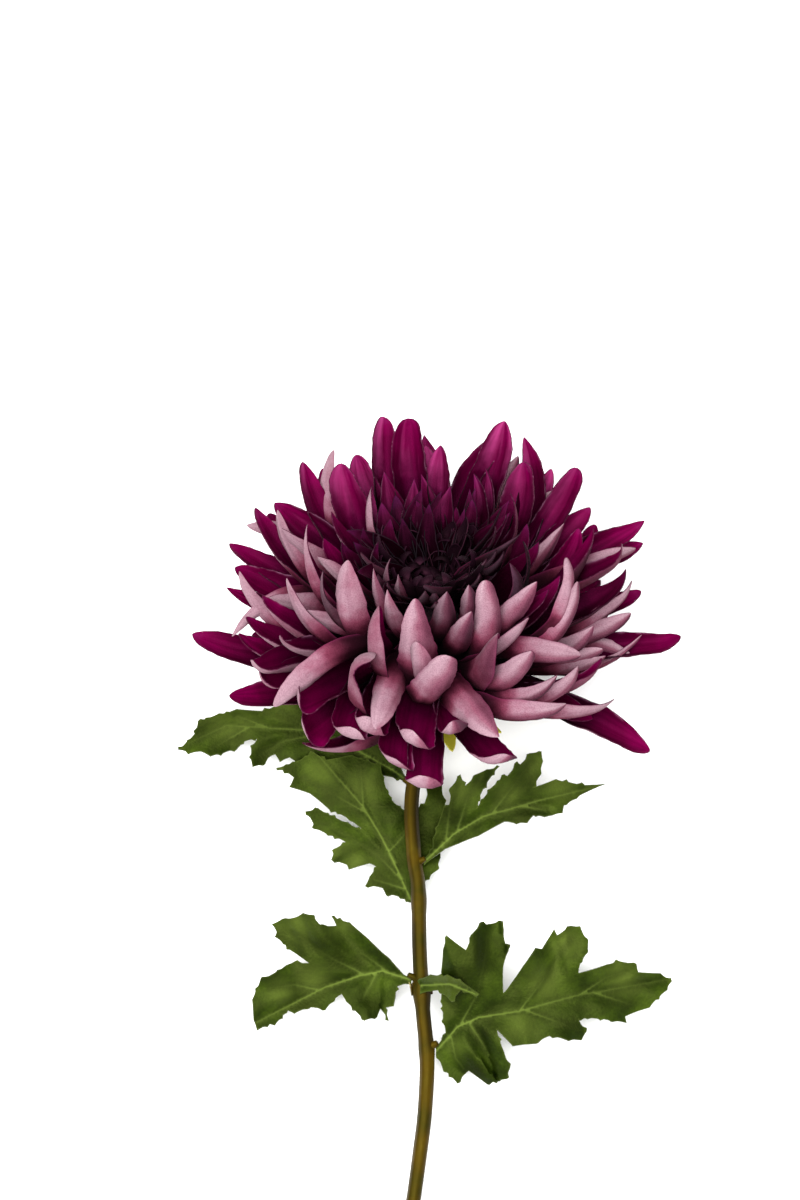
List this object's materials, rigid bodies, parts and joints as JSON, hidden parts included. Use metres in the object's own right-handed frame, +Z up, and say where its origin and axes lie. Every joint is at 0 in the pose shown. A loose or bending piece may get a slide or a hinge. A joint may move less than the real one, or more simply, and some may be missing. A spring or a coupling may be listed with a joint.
{
  "type": "cut chrysanthemum",
  "caption": "Cut chrysanthemum lying on a surface: a large bloom of layered two-tone petals round a dark heart, on a calyx and a slender stem with lobed leaves.",
  "frame": {"origin": "middle of the underside of the bounding box, on the surface that the flower lies on", "axes": "+Z up from that surface, +Y along the flower from its cut end to its bloom, +X to the right seen from above"},
  "size_m": [0.1548, 0.3028, 0.1045],
  "materials": {
    "petals": "matte, finely woven, pale pink on the reverse",
    "heart": "matte",
    "calyx": "matte",
    "stem": "matte",
    "leaf": "matte"
  },
  "bodies": {
    "root": {"bloom_petals": "petals", "bloom_heart": "heart", "calyx": "calyx", "stem": "stem", "leaf_1": "leaf", "leaf_2": "leaf", "leaf_3": "leaf", "leaf_4": "leaf", "leaf_5": "leaf", "leaf_6": "leaf"}
  },
  "joints": []
}
